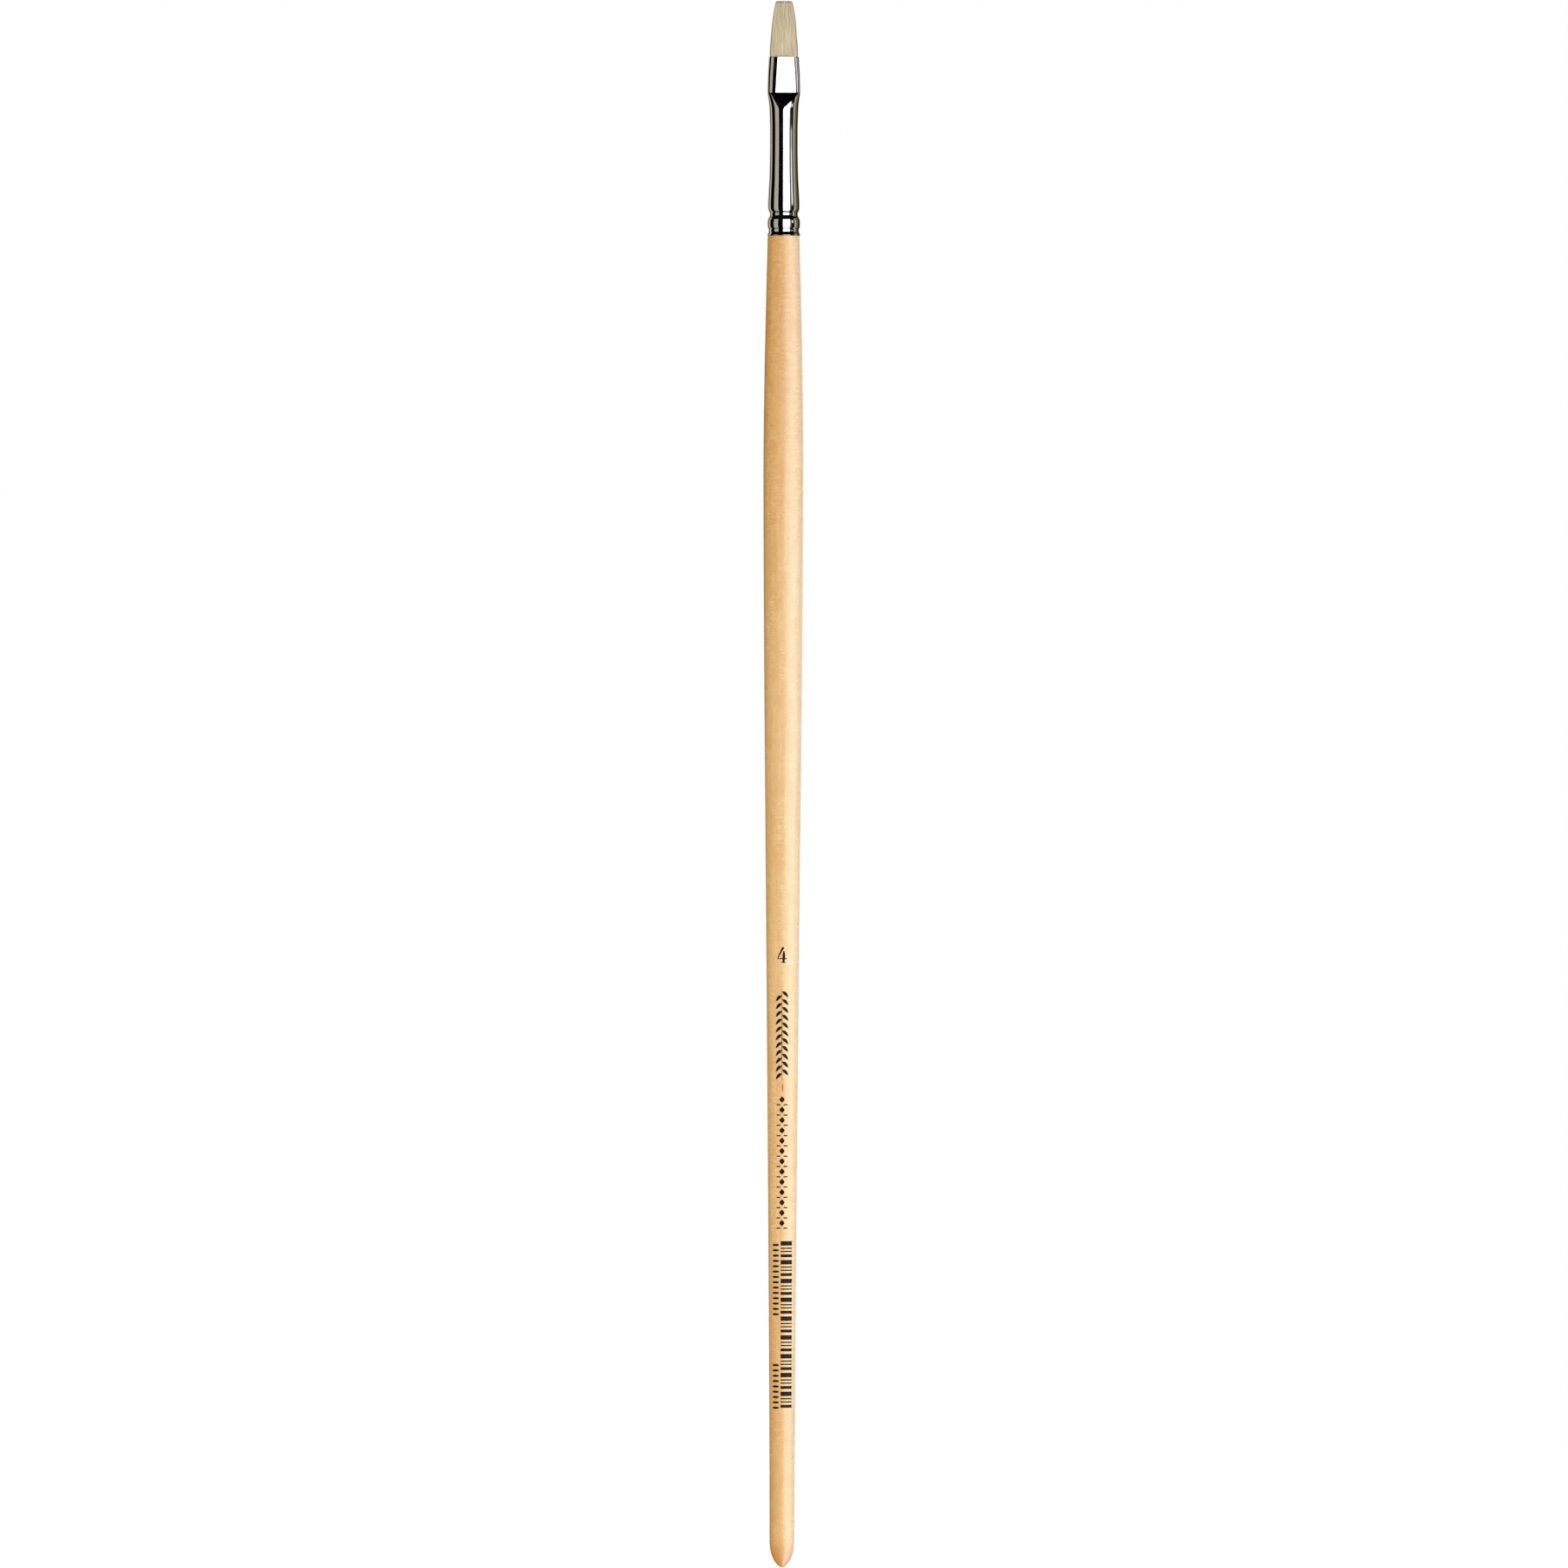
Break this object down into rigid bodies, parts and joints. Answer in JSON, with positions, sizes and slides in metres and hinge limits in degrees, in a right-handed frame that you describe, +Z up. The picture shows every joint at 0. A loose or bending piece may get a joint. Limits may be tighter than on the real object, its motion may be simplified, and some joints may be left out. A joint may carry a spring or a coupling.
{
  "type": "paint brush",
  "caption": "Long-handled flat artist's paint brush: square-cut filament hair in a plated ferrule, pressed flat and crimped, on a slim varnished wooden handle.",
  "frame": {"origin": "tip of the handle's rounded tail, on the brush's axis", "axes": "+Z up the brush from the tail to the tip of the hair, +X across the flat width of the hair, +Y through the hair's thickness towards the back"},
  "size_m": [0.0076, 0.0076, 0.3],
  "materials": {
    "varnished_wood": "gloss",
    "plated_tube": "polished",
    "brush_hair": "satin",
    "hard_cement": "satin",
    "wood_glue": "satin"
  },
  "bodies": {
    "root": {"handle": "varnished_wood", "ferrule": "plated_tube", "hair_bundle": "brush_hair", "root_cement": "hard_cement", "tenon_glue": "wood_glue"}
  },
  "joints": []
}
